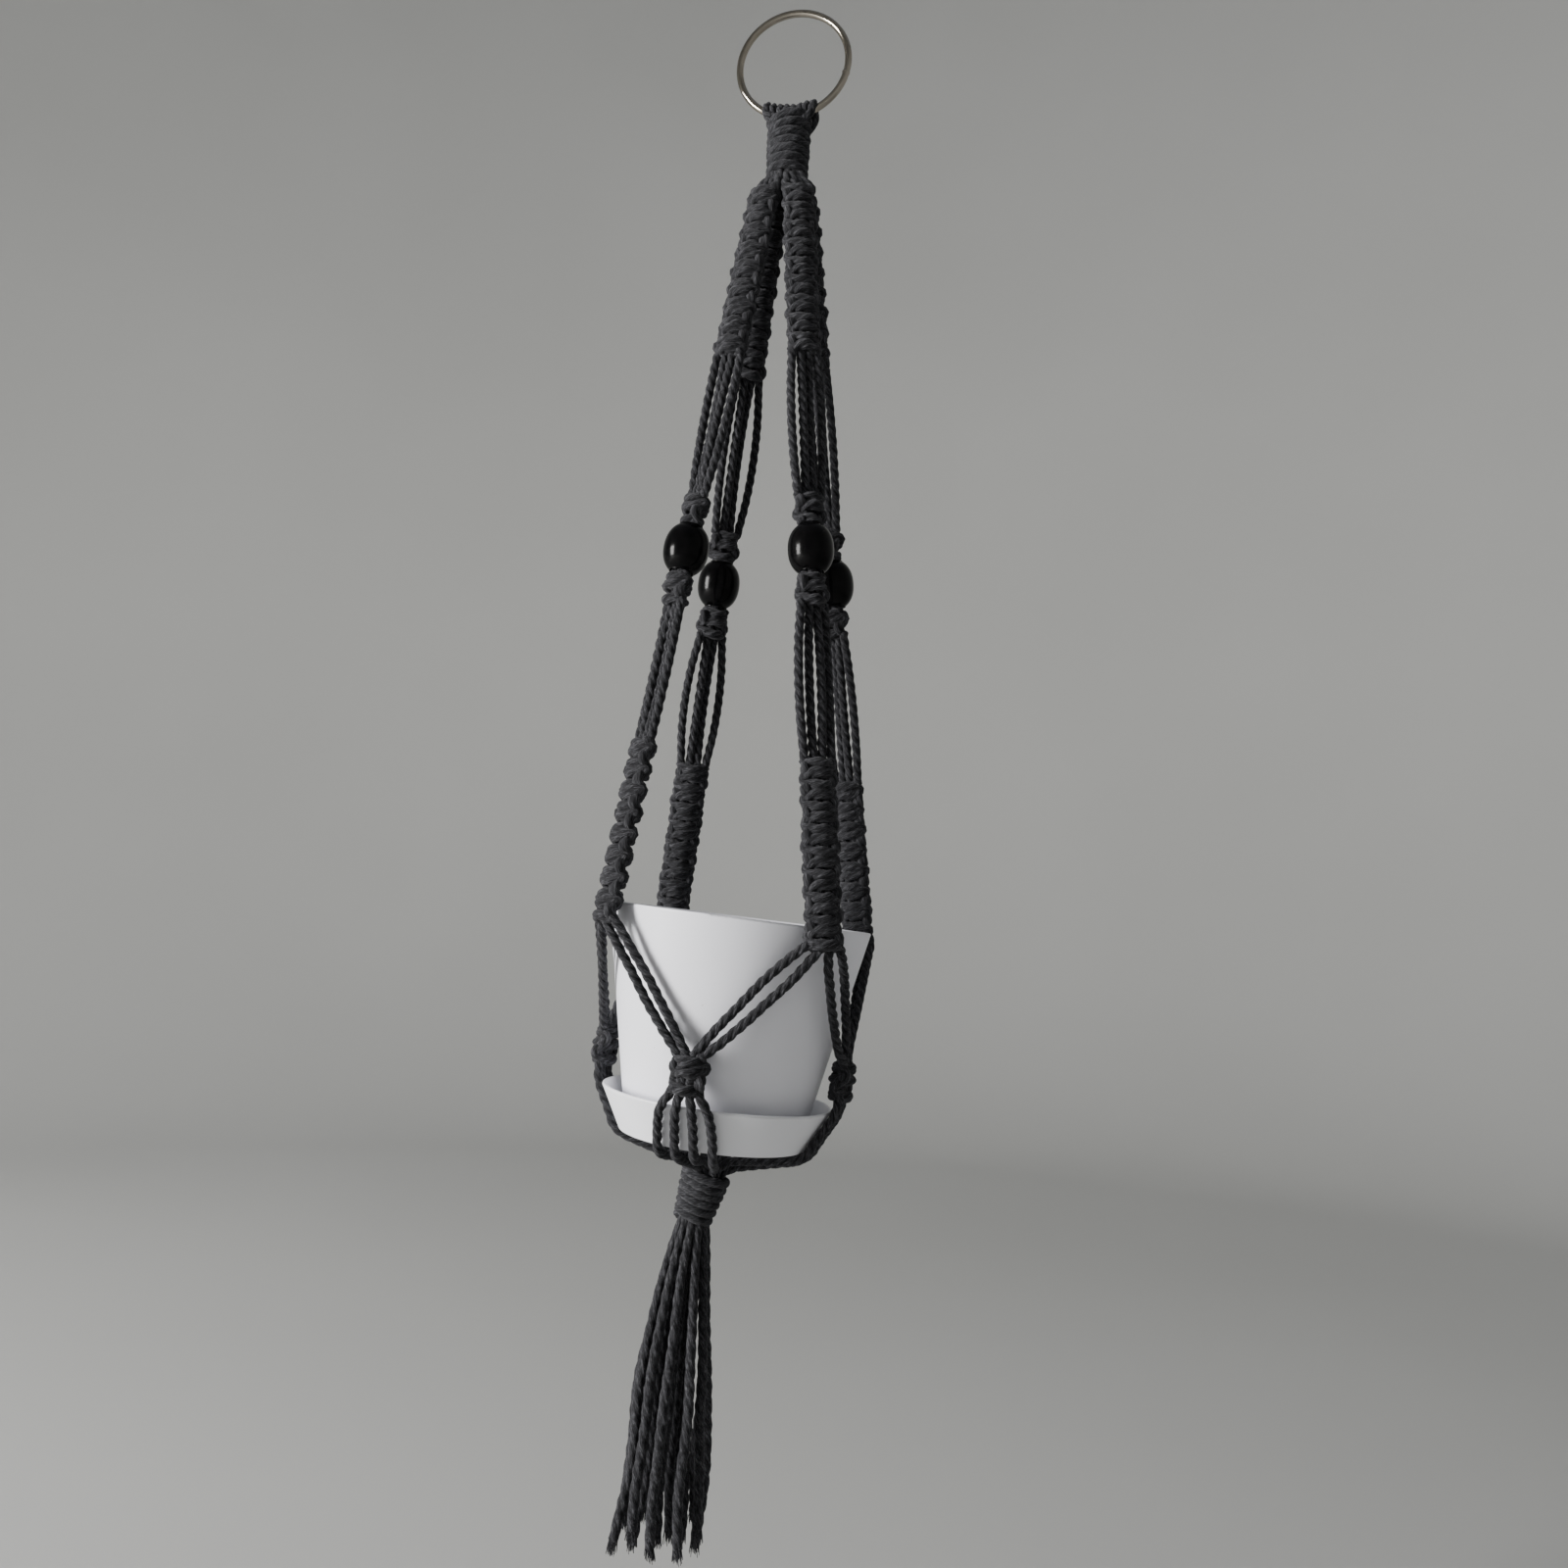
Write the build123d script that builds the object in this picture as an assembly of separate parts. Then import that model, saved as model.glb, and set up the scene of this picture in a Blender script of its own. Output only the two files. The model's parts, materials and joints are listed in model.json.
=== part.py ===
from build123d import *
import os
from math import cos, hypot, radians, sin, sqrt, tan

os.makedirs("parts", exist_ok=True)

# Hanging macrame planter, in millimetres and degrees.
# The origin is the inside of the ring's top, where a nail or hook bears. +Z is up, the front is -Y.

# Cord
CORD_D = 3.5
TASSEL_CORD_D = 3.3
FIT = 0.05
MOVE_GAP = 0.35

# Ring
RING_OD = 50.0
RING_WIRE = 3.0
RING_Z = -(RING_OD / 2 - RING_WIRE)
RING_R = (RING_OD - RING_WIRE) / 2

# Cord loops over the ring, and the bundle that they run into
LOOPS = 8
LOOP_PITCH = 3.0
LOOP_CORD_D = 2.8
LOOP_R = 4.3
LOOP_DROP = 0.5
END_LOOP_RISE = 0.9
NECK_TOP_Z = -47.6
NECK_HEIGHT = 2.9
NECK_SIZE = (23.4, 10.8)
CORE_R = 6.25

# Wrapping cord under the ring
TOP_WRAP_R = (9.3, 8.6)
TOP_WRAP_TURNS = 9
TOP_WRAP_BOTTOM_Z = -75.6
TURN_BULGE = 0.6

# Arms: square-knot chains, free cords and a bead, from the wrap to the pot's rim
ARMS = {"back_right": 45, "back_left": 135, "front_left": 225, "front_right": 315}
ARM_TOP = (9.0, -76.0)
ARM_RIM_R = 57.2
HALF_KNOT = 4.15
CHAIN_W = 12.0
CHAIN_T = 9.0
CHAIN_CORNER_R = 3.6
CHAIN_WAIST = 0.84
CHAIN_START = 1.0
UPPER_HALF_KNOTS = {"back_right": 19, "back_left": 19, "front_left": 20, "front_right": 20}
LOWER_HALF_KNOTS = 17
ARM_BELOW_RIM = 8.0
BEAD_AT = 168.2
BEAD_D = 17.8
BEAD_LENGTH = 19.4
BEAD_END_R = 6.4
BEAD_HOLE_D = 9.2
BEAD_EDGE_R = 1.2
BEAD_KNOT_LENGTH = 13.0
BEAD_KNOT_SIZE = (14.0, 10.5)
CORD_ROW = [(-4.6, 1.3), (-1.77, -0.9), (1.77, -0.9), (4.6, 1.3)]

# Basket: the pot leans in it a little. Heights are from the pot's rim, down the pot's axis
RIM_Z = -383.0
BASKET_TILT = 4.0
SIDES = {"right": 0, "back": 90, "left": 180, "front": 270}
SIDE_KNOT_R = 47.6
SIDE_KNOT_TOP = -49.4
SIDE_KNOT_LENGTH = 14.0
SIDE_KNOT_SIZE = (14.5, 10.0)
PAIR_BULGE = 0.9
LEAST_BOW = 1.02

# Pot and saucer
POT_RIM_R = 51.5
POT_BASE_R = 34.4
POT_HEIGHT = 82.4
POT_WALL = 1.6
POT_FLOOR = 2.6
DRAIN_HOLES = 4
DRAIN_HOLE_D = 6.0
DRAIN_RING_R = 20.0
SAUCER_RIM_R = 45.0
SAUCER_RIM_H = -68.7
SAUCER_BASE_R = 36.2
SAUCER_BASE_H = -85.0
SAUCER_WALL = 1.6
SAUCER_FLOOR = 2.2

# Four legs a side, under the saucer to the bottom wrap
LEG_RIM = (47.6, -69.6, 6.8)
LEG_BASE = (38.4, -87.6, 10.0)
LEG_END_H = (-92.6, -96.6)
LEG_END_R = 7.0
LEG_SPREAD = 22.5
LEG_RADII = (8.0, 6.0)
LEG_ROW = [(-5.2, 0.6), (-1.77, 0.0), (1.77, 0.0), (5.2, 0.6)]

# Wrapping cord under the basket, leaning further than the pot
PLUG_H = (-91.0, -98.5)
PLUG_R = 7.2
BOTTOM_WRAP_H = -97.0
BOTTOM_WRAP_TILT = 14.8
BOTTOM_WRAP_R = (10.0, 7.4)
BOTTOM_WRAP_TURNS = 8
BOTTOM_WRAP_LENGTH = 21.5
WRAP_END_R = 7.2

# Tassel: strands in two rings, spreading, leaning and parting into two groups as they hang
TASSEL_INNER = 5
TASSEL_OUTER = 11
TASSEL_RING_R = (2.95, 6.35)
TASSEL_START_DROP = (7.8, 6.4)
TASSEL_LEVELS = [-530.0, -560.0, -590.0]
TASSEL_TIP_Z = -617.5
TASSEL_TIP_STEP = 4.0
TASSEL_SPREAD = [1.0, 1.5, 1.9, 2.0, 2.45]
TASSEL_DRIFT = [0.0, -1.7, -3.0, -3.9, -4.6]
TASSEL_SWAY = [0.0, 0.5, 0.8, 1.1, 1.7]
TASSEL_PART = [0.0, 0.3, 1.1, 1.5, 0.4]
TASSEL_PART_COS = 0.45

BASKET = Plane(
    origin=(0, 0, RIM_Z),
    x_dir=(cos(radians(BASKET_TILT)), 0, -sin(radians(BASKET_TILT))),
    z_dir=(sin(radians(BASKET_TILT)), 0, cos(radians(BASKET_TILT))),
)


def polar(radius, azimuth, height):
    """A point from its distance to the axis, its direction and its height."""
    angle = radians(azimuth)
    return Vector(radius * cos(angle), radius * sin(angle), height)


def in_basket(radius, azimuth, height):
    """A point given about the pot's axis, from the rim, as a point of the whole object."""
    return BASKET.from_local_coords(polar(radius, azimuth, height))


def tube(points, diameter, radii):
    """A cord along straight runs joined by tangent arcs, with one radius for each corner."""
    path = FilletPolyline(*points, radius=radii)
    section = Plane(origin=path @ 0, z_dir=path % 0) * Circle(diameter / 2)
    return sweep(section, path=path)


def wide_radii(points):
    """The largest arc radius that each corner's two runs allow."""
    radii = []
    for before, corner, after in zip(points, points[1:], points[2:]):
        turn = (corner - before).get_angle(after - corner)
        run = min((corner - before).length, (after - corner).length)
        radii.append(0.45 * run / tan(radians(turn / 2)))
    return radii


def scallops(half_width, waist, pitch, count):
    """A closed outline with one bulge on both sides for each half knot or turn."""
    edges = [Line((-waist, 0), (waist, 0)), Line((-waist, pitch * count), (waist, pitch * count))]
    for side in (-1, 1):
        for index in range(count):
            start = pitch * index
            edges.append(ThreePointArc((side * waist, start), (side * half_width, start + pitch / 2),
                                       (side * waist, start + pitch)))
    return make_face(edges)


def knot_chain(count, pitch, width, thickness, corner_r=CHAIN_CORNER_R):
    """A chain of half knots down +Z: bulging in both views, with rounded corners."""
    length = pitch * count
    face = scallops(width / 2, CHAIN_WAIST * width / 2, pitch, count)
    edge = scallops(thickness / 2, CHAIN_WAIST * thickness / 2, pitch, count)
    front = extrude(Plane.XZ * face, thickness, both=True)
    side = extrude(Plane.YZ * edge, width, both=True)
    section = extrude(RectangleRounded(width, thickness, corner_r), length)
    return front & side & section


def straight_cords(row, start, end):
    """Parallel cords down +Z, at the given places in their row."""
    cords = []
    for x, y in row:
        cords.append(Pos(x, y, (start + end) / 2) * Cylinder(CORD_D / 2, end - start))
    return cords


def wrap_coil(radii, bore_r, turns, length):
    """A close-wound coil down -Z, as rings of one bulge a turn, tapering from the first radius."""
    pitch = length / turns
    edges = []
    for index in range(turns):
        outer = [radii[0] + (radii[1] - radii[0]) * (index + step) / turns for step in (0, 0.5, 1)]
        start = (outer[0] - TURN_BULGE, -pitch * index)
        end = (outer[2] - TURN_BULGE, -pitch * (index + 1))
        edges.append(ThreePointArc(start, (outer[1], -pitch * (index + 0.5)), end))
    top_r, end_r = (radius - TURN_BULGE for radius in radii)
    edges.append(Polyline((end_r, -length), (bore_r, -length), (bore_r, 0), (top_r, 0)))
    return revolve(Plane.XZ * make_face(edges), Axis.Z)


def ring():
    """The wire ring, upright across the front."""
    return Pos(0, 0, RING_Z) * Rot(90, 0, 0) * Torus(RING_R, RING_WIRE / 2)


def ring_loops():
    """Eight folded cords side by side over the ring, running into one bundle inside the wrap."""
    half_span = LOOP_PITCH * (LOOPS - 1) / 2
    neck = loft([
        Pos(0, 0, NECK_TOP_Z) * RectangleRounded(*NECK_SIZE, NECK_SIZE[1] / 2 - FIT),
        Pos(0, 0, NECK_TOP_Z - NECK_HEIGHT) * Circle(CORE_R),
    ])
    core_height = NECK_TOP_Z - NECK_HEIGHT - TOP_WRAP_BOTTOM_Z
    bundle = neck + Pos(0, 0, TOP_WRAP_BOTTOM_Z + core_height / 2) * Cylinder(CORE_R, core_height)
    for index in range(LOOPS):
        x = LOOP_PITCH * index - half_span
        wire_z = RING_Z - sqrt(RING_R**2 - x**2)
        crown_z = wire_z - LOOP_DROP + END_LOOP_RISE * (x / half_span) ** 2
        foot_z = NECK_TOP_Z - 1
        path = Line((x, -LOOP_R, foot_z), (x, -LOOP_R, crown_z))
        path += ThreePointArc((x, -LOOP_R, crown_z), (x, 0, crown_z + LOOP_R), (x, LOOP_R, crown_z))
        path += Line((x, LOOP_R, crown_z), (x, LOOP_R, foot_z))
        bundle += sweep(Plane(origin=path @ 0, z_dir=path % 0) * Circle(LOOP_CORD_D / 2), path=path)
    return bundle


def top_wrap():
    """The cord wound round the bundle under the ring."""
    top = NECK_TOP_Z - NECK_HEIGHT - FIT
    return Pos(0, 0, top) * wrap_coil(TOP_WRAP_R, CORE_R + FIT, TOP_WRAP_TURNS, top - TOP_WRAP_BOTTOM_Z)


def arm_plane(azimuth):
    """An arm's own frame: x across its face, y outward, z down the arm from under the wrap."""
    start = polar(ARM_TOP[0], azimuth, ARM_TOP[1])
    end = in_basket(ARM_RIM_R, azimuth, 0)
    return Plane(origin=start, x_dir=polar(1, azimuth + 90, 0), z_dir=end - start)


def arm_length(azimuth):
    """From an arm's start to the height of the pot's rim."""
    return (in_basket(ARM_RIM_R, azimuth, 0) - polar(ARM_TOP[0], azimuth, ARM_TOP[1])).length


def bead():
    """A barrel bead, bored for four cords."""
    half = BEAD_LENGTH / 2
    barrel = ThreePointArc((BEAD_END_R, -half), (BEAD_D / 2, 0), (BEAD_END_R, half))
    bore_r = BEAD_HOLE_D / 2
    bore = Polyline((BEAD_END_R, half), (bore_r, half), (bore_r, -half), (BEAD_END_R, -half))
    solid = revolve(Plane.XZ * make_face([barrel, bore]), Axis.Z)
    rims = solid.edges().filter_by(GeomType.CIRCLE).filter_by(lambda e: abs(e.radius - BEAD_END_R) < 0.01)
    return fillet(rims, BEAD_EDGE_R)


def arm(name, azimuth):
    """One arm's pieces, in place, by node name."""
    place = arm_plane(azimuth)
    chain_end = CHAIN_START + UPPER_HALF_KNOTS[name] * HALF_KNOT
    bead_half = BEAD_LENGTH / 2 + MOVE_GAP
    knots = [BEAD_AT - bead_half - BEAD_KNOT_LENGTH, BEAD_AT + bead_half]
    lower_end = arm_length(azimuth) + ARM_BELOW_RIM
    lower_start = lower_end - LOWER_HALF_KNOTS * HALF_KNOT
    single_knot = knot_chain(2, BEAD_KNOT_LENGTH / 2, *BEAD_KNOT_SIZE)
    bundle = [(x, y) for x in (-1.8, 1.8) for y in (-1.8, 1.8)]
    bead_knots = [Pos(0, 0, start) * single_knot for start in knots]
    bead_knots += straight_cords(bundle, knots[0] + BEAD_KNOT_LENGTH, knots[1])
    upper_chain = knot_chain(UPPER_HALF_KNOTS[name], HALF_KNOT, CHAIN_W, CHAIN_T)
    pieces = {
        "upper_sinnet": [Pos(0, 0, CHAIN_START) * upper_chain],
        "upper_cords": straight_cords(CORD_ROW, chain_end, knots[0]),
        "bead_knots": bead_knots,
        "bead": [Pos(0, 0, BEAD_AT) * bead()],
        "lower_cords": straight_cords(CORD_ROW, knots[1] + BEAD_KNOT_LENGTH, lower_start),
        "lower_sinnet": [Pos(0, 0, lower_start) * knot_chain(LOWER_HALF_KNOTS, HALF_KNOT, CHAIN_W, CHAIN_T)],
    }
    placed = {}
    for part, solids in pieces.items():
        placed[f"{name}_{part}"] = Compound([place * solid for solid in solids])
    return placed


def side_plane(azimuth):
    """A basket knot's own frame: x across, y outward, z down, at the middle of the knot's top."""
    across = BASKET.from_local_coords(polar(1, azimuth + 90, 0)) - BASKET.origin
    return Plane(origin=in_basket(SIDE_KNOT_R, azimuth, SIDE_KNOT_TOP), x_dir=across, z_dir=-BASKET.z_dir)


def side_knot(azimuth):
    """The single square knot that joins two arms' cords beside the pot."""
    return side_plane(azimuth) * knot_chain(2, SIDE_KNOT_LENGTH / 2, *SIDE_KNOT_SIZE)


def basket_cords(arm_azimuth, solids_to_meet):
    """An arm's four cords, two to the basket knot on each side."""
    arm_frame = arm_plane(arm_azimuth)
    end = arm_length(arm_azimuth) + ARM_BELOW_RIM
    cords = []
    for index, (x, y) in enumerate(CORD_ROW):
        side = -1 if index < 2 else 1
        knot_frame = side_plane(arm_azimuth + 45 * side)
        knot_x, knot_y = LEG_ROW[(index + 2) % 4]
        start = arm_frame.from_local_coords(Vector(x, y, end - 1.2))
        finish = knot_frame.from_local_coords(Vector(knot_x, knot_y, 1.2))
        chord = BASKET.to_local_coords((start + finish) / 2)
        pot_r = POT_RIM_R + chord.Z * (POT_RIM_R - POT_BASE_R) / POT_HEIGHT
        stretch = max(LEAST_BOW, (pot_r + CORD_D / 2 + PAIR_BULGE) / hypot(chord.X, chord.Y))
        middle = BASKET.from_local_coords(Vector(chord.X * stretch, chord.Y * stretch, chord.Z))
        points = [start, middle, finish]
        cords.append(tube(points, CORD_D, wide_radii(points)))
    return Compound([trimmed(cord, solids_to_meet) for cord in cords])


def trimmed(cord, solids):
    """The cord without what lies inside the knots that it runs into."""
    for solid in solids:
        cord = cord - solid
    return max(cord.solids(), key=lambda piece: piece.volume)


def basket_legs(azimuth, knot, wrap):
    """Four cords from a basket knot, down the saucer's wall and under it to the wrap."""
    knot_frame = side_plane(azimuth)
    legs = []
    for index, (x, y) in enumerate(LEG_ROW):
        fan = index - 1.5
        level = LEG_END_H[index % 2]
        points = [
            knot_frame.from_local_coords(Vector(x, y, SIDE_KNOT_LENGTH - 1)),
            in_basket(LEG_RIM[0], azimuth + LEG_RIM[2] * fan, LEG_RIM[1]),
            in_basket(LEG_BASE[0], azimuth + LEG_BASE[2] * fan, LEG_BASE[1]),
            in_basket(LEG_END_R, azimuth + LEG_SPREAD * fan, level),
        ]
        legs.append(trimmed(tube(points, CORD_D, LEG_RADII), [knot, wrap]))
    return Compound(legs)


def pot():
    """The tapered pot, open at the top, with drain holes in its floor."""
    taper = (POT_RIM_R - POT_BASE_R) / POT_HEIGHT
    floor_r = POT_BASE_R + taper * POT_FLOOR - POT_WALL
    profile = Polyline((0, -POT_HEIGHT), (POT_BASE_R, -POT_HEIGHT), (POT_RIM_R, 0), (POT_RIM_R - POT_WALL, 0),
                       (floor_r, POT_FLOOR - POT_HEIGHT), (0, POT_FLOOR - POT_HEIGHT), close=True)
    solid = revolve(Plane.XZ * make_face(profile), Axis.Z)
    rims = solid.edges().filter_by(GeomType.CIRCLE).sort_by(Axis.Z)
    solid = fillet(rims[-2:], POT_WALL * 0.4)
    drain = Cylinder(DRAIN_HOLE_D / 2, 2 * (POT_HEIGHT + POT_FLOOR))
    drains = PolarLocations(DRAIN_RING_R, DRAIN_HOLES) * drain
    return BASKET * (solid - drains)


def saucer():
    """The shallow flared saucer under the pot."""
    flare = (SAUCER_RIM_R - SAUCER_BASE_R) / (SAUCER_RIM_H - SAUCER_BASE_H)
    floor_h = SAUCER_BASE_H + SAUCER_FLOOR
    inner_r = SAUCER_BASE_R + flare * SAUCER_FLOOR - SAUCER_WALL
    rim_in = (SAUCER_RIM_R - SAUCER_WALL, SAUCER_RIM_H)
    profile = Polyline((0, SAUCER_BASE_H), (SAUCER_BASE_R, SAUCER_BASE_H), (SAUCER_RIM_R, SAUCER_RIM_H),
                       rim_in, (inner_r, floor_h), (0, floor_h), close=True)
    solid = revolve(Plane.XZ * make_face(profile), Axis.Z)
    rims = solid.edges().filter_by(GeomType.CIRCLE).sort_by(Axis.Z)
    return BASKET * fillet(rims[-2:], SAUCER_WALL * 0.4)


def wrap_frame():
    """The bottom wrap's own frame, with -Z down its leaning axis."""
    lean = radians(BOTTOM_WRAP_TILT)
    start = in_basket(0, 0, BOTTOM_WRAP_H)
    return Plane(origin=start, x_dir=(cos(lean), 0, -sin(lean)), z_dir=(sin(lean), 0, cos(lean)))


def bottom_wrap():
    """The wound cord under the basket, with the pressed bundle above it and a round end over the tassel."""
    plug = BASKET * Pos(0, 0, sum(PLUG_H) / 2) * Cylinder(PLUG_R, PLUG_H[0] - PLUG_H[1])
    coil = wrap_coil(BOTTOM_WRAP_R, 0, BOTTOM_WRAP_TURNS, BOTTOM_WRAP_LENGTH)
    return wrap_frame() * (coil + Pos(0, 0, -BOTTOM_WRAP_LENGTH) * Sphere(WRAP_END_R)) + plug


def tassel_route(index, pivot):
    """One strand's route: five points from under the wrap to its tip."""
    inner = index < TASSEL_INNER
    ring_index = 0 if inner else 1
    count = (TASSEL_INNER, TASSEL_OUTER)[ring_index]
    azimuth = 360 * index / count + 16 * ring_index
    tip_z = TASSEL_TIP_Z - TASSEL_TIP_STEP * sin(2.4 * index)
    heights = [pivot.Z - TASSEL_START_DROP[ring_index], *TASSEL_LEVELS, tip_z]
    group = 1 if cos(radians(azimuth)) > TASSEL_PART_COS else -1
    points = []
    for level, height in enumerate(heights):
        sway = TASSEL_SWAY[level] * sin(1.9 * index + 2.1 * level)
        swing = TASSEL_SWAY[level] * 3 * cos(2.6 * index + 1.7 * level)
        offset = polar(TASSEL_RING_R[ring_index] * TASSEL_SPREAD[level] + sway, azimuth + swing, height)
        shift = TASSEL_DRIFT[level] + TASSEL_PART[level] * group
        points.append(offset + Vector(pivot.X + shift, 0, 0))
    return points


def build():
    """All sub-parts, by node name."""
    parts = {"ring": ring(), "ring_loops": ring_loops(), "top_wrap": top_wrap()}
    for name, azimuth in ARMS.items():
        parts.update(arm(name, azimuth))
    knots = {name: side_knot(azimuth) for name, azimuth in SIDES.items()}
    wrap = bottom_wrap()
    for name, azimuth in ARMS.items():
        meets = [parts[f"{name}_lower_sinnet"], *knots.values()]
        parts[f"{name}_basket_cords"] = basket_cords(azimuth, meets)
    for name, azimuth in SIDES.items():
        parts[f"{name}_basket_knot"] = knots[name]
        parts[f"{name}_basket_legs"] = basket_legs(azimuth, knots[name], wrap)
    parts["bottom_wrap"] = wrap
    parts["pot"] = pot()
    parts["saucer"] = saucer()
    pivot = wrap_frame().from_local_coords(Vector(0, 0, -BOTTOM_WRAP_LENGTH))
    print("tassel pivot", [round(value, 3) for value in pivot])
    for index in range(TASSEL_INNER + TASSEL_OUTER):
        points = tassel_route(index, pivot)
        radii = wide_radii(points)
        strand = tube(points, TASSEL_CORD_D, radii)
        print(f"tassel_cord_{index + 1:02d} arc radii", [round(radius) for radius in radii])
        parts[f"tassel_cord_{index + 1:02d}"] = strand
    return parts


for node, shape in build().items():
    export_step(shape, f"parts/{node}.step")
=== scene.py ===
"""The looks of a hanging macrame planter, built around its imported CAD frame.

Sizes in this script are millimetres and degrees, and meshes are made in metres.
The object hangs down -Z from the inside of its ring's top, and its front is -Y.
"""

import json
from math import cos, pi, radians, sin, sqrt, tau

import bpy
import numpy as np
from mathutils import Matrix, Vector


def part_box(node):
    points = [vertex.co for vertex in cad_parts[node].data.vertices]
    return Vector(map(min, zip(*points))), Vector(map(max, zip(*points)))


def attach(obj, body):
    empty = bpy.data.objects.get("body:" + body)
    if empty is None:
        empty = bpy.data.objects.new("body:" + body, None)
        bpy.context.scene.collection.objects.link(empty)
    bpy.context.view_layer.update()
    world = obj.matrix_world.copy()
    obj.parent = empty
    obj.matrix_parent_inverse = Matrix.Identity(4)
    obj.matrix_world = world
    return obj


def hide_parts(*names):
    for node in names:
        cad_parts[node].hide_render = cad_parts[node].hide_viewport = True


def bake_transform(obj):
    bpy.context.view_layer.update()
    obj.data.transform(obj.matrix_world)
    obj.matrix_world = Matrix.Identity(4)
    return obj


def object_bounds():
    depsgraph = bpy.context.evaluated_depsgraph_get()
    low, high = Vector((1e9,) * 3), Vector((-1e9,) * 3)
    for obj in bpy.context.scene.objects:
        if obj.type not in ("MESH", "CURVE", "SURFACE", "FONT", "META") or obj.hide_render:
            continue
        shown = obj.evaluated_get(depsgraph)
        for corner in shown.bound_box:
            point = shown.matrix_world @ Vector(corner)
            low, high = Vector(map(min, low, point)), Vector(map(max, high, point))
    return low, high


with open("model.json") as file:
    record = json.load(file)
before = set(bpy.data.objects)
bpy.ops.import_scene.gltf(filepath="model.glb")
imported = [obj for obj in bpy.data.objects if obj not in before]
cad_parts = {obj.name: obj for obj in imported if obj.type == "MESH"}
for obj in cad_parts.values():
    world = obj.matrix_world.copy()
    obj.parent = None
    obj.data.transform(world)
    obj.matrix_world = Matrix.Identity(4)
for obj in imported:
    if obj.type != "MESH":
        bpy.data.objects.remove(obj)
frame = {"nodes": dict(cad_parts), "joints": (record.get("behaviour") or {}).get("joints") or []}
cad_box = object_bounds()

MM = 0.001
JOINTS = {joint["name"]: joint for joint in frame["joints"]}

# Cord
CORD_D = 3.8
LOOP_CORD_D = 3.7
CHAIN_CORD_D = 4.8
KNOT_CORD_D = 4.6
BORE_CORD_D = 3.3
CORE_CORD_D = 3.6
TOP_WRAP_CORD_D = 4.3
BOTTOM_WRAP_CORD_D = 4.0
PLY_OFFSET = 0.42
PLY_RADIUS = 0.58
CORD_SIDES = 12
LAY_LENGTH = 3.6
CORD_STEP = 0.75

# Arms, as the CAD has them: distances run down an arm from under the top wrap
ARMS = {"back_right": 45, "back_left": 135, "front_left": 225, "front_right": 315}
BEAD_AT = 168.2
ARM_RIM_R = 57.2
ARM_BELOW_RIM = 8.0
HALF_KNOT = 4.15
CHAIN_START = 1.0
CHAIN_LEAD = 5.6
CHAIN_LEAD_IN = [(0.3, 4.6, -9), (0.4, 4.0, -4), (0.6, 2.6, 0.5)]
CHAIN_RELIEF = 0.7
CHAIN_TWIST = {"back_right": 0.1, "back_left": 0.15, "front_left": 0.28, "front_right": 0.2}
UPPER_TURN = {"back_right": -10, "back_left": 0, "front_left": -32, "front_right": 14}
LOWER_TURN = {"back_right": -24, "back_left": 24, "front_left": 0, "front_right": 14}
CHAIN_SIZE = (15.3, 10.4)
UPPER_HALF_KNOTS = {"back_right": 19, "back_left": 19, "front_left": 20, "front_right": 20}
LOWER_HALF_KNOTS = 17
FILLER_X = 1.65
BEAD_LENGTH = 19.4
BEAD_D = 17.8
BEAD_HOLE_D = 9.0
BEAD_GAP = 0.35
BEAD_KNOT_LENGTH = 13.0
BEAD_KNOT_SIZE = (15.4, 12.2)
BEAD_KNOT_HALF_KNOTS = 3

# Basket
SIDES = {"right": 0, "back": 90, "left": 180, "front": 270}
SIDE_KNOT_R = 47.6
SIDE_KNOT_TOP = -49.4
SIDE_KNOT_LENGTH = 14.0
SIDE_KNOT_SIZE = (15.4, 11.4)
SIDE_KNOT_HALF_KNOTS = 3
POT_RIM_R = 51.5
POT_BASE_R = 34.4
POT_HEIGHT = 82.4
LEG_X = [-5.2, -1.77, 1.77, 5.2]

# Ring and wraps
LOOP_COUNT = 8
LOOP_PITCH = 2.8
WELD_AZIMUTH = -14
TOP_WRAP_Z = (-48.6, -74.0)
TOP_WRAP_R = (7.6, 6.9)
TOP_WRAP_TURNS = 6.9
BOTTOM_WRAP_LEAN = 14.8
BOTTOM_WRAP_LENGTH = 21.5
BOTTOM_WRAP_R = (8.3, 5.8)
BOTTOM_WRAP_TURNS = 6.2

# Tassel, as the CAD has it
TASSEL_INNER = 5
TASSEL_OUTER = 11
TASSEL_RING_R = (2.95, 6.35)
TASSEL_START_DROP = (7.8, 6.4)
TASSEL_LEVELS = [-530.0, -560.0, -590.0]
TASSEL_TIP_Z = -617.5
TASSEL_TIP_STEP = 4.0
TASSEL_SPREAD = [1.0, 1.5, 1.9, 2.0, 2.45]
TASSEL_DRIFT = [0.0, -1.7, -3.0, -3.9, -4.6]
TASSEL_SWAY = [0.0, 0.5, 0.8, 1.1, 1.7]
TASSEL_PART = [0.0, 0.3, 1.1, 1.5, 0.4]
TASSEL_PART_COS = 0.45
TASSEL_STRAND_D = 4.0
TASSEL_SWELL = [0.82, 0.88, 0.95, 1.0, 1.04, 1.07, 1.08, 1.1, 1.1, 1.06]
TASSEL_LAY = 5.2
TASSEL_FRAY = 6.0
TASSEL_WISPS = 34

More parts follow.
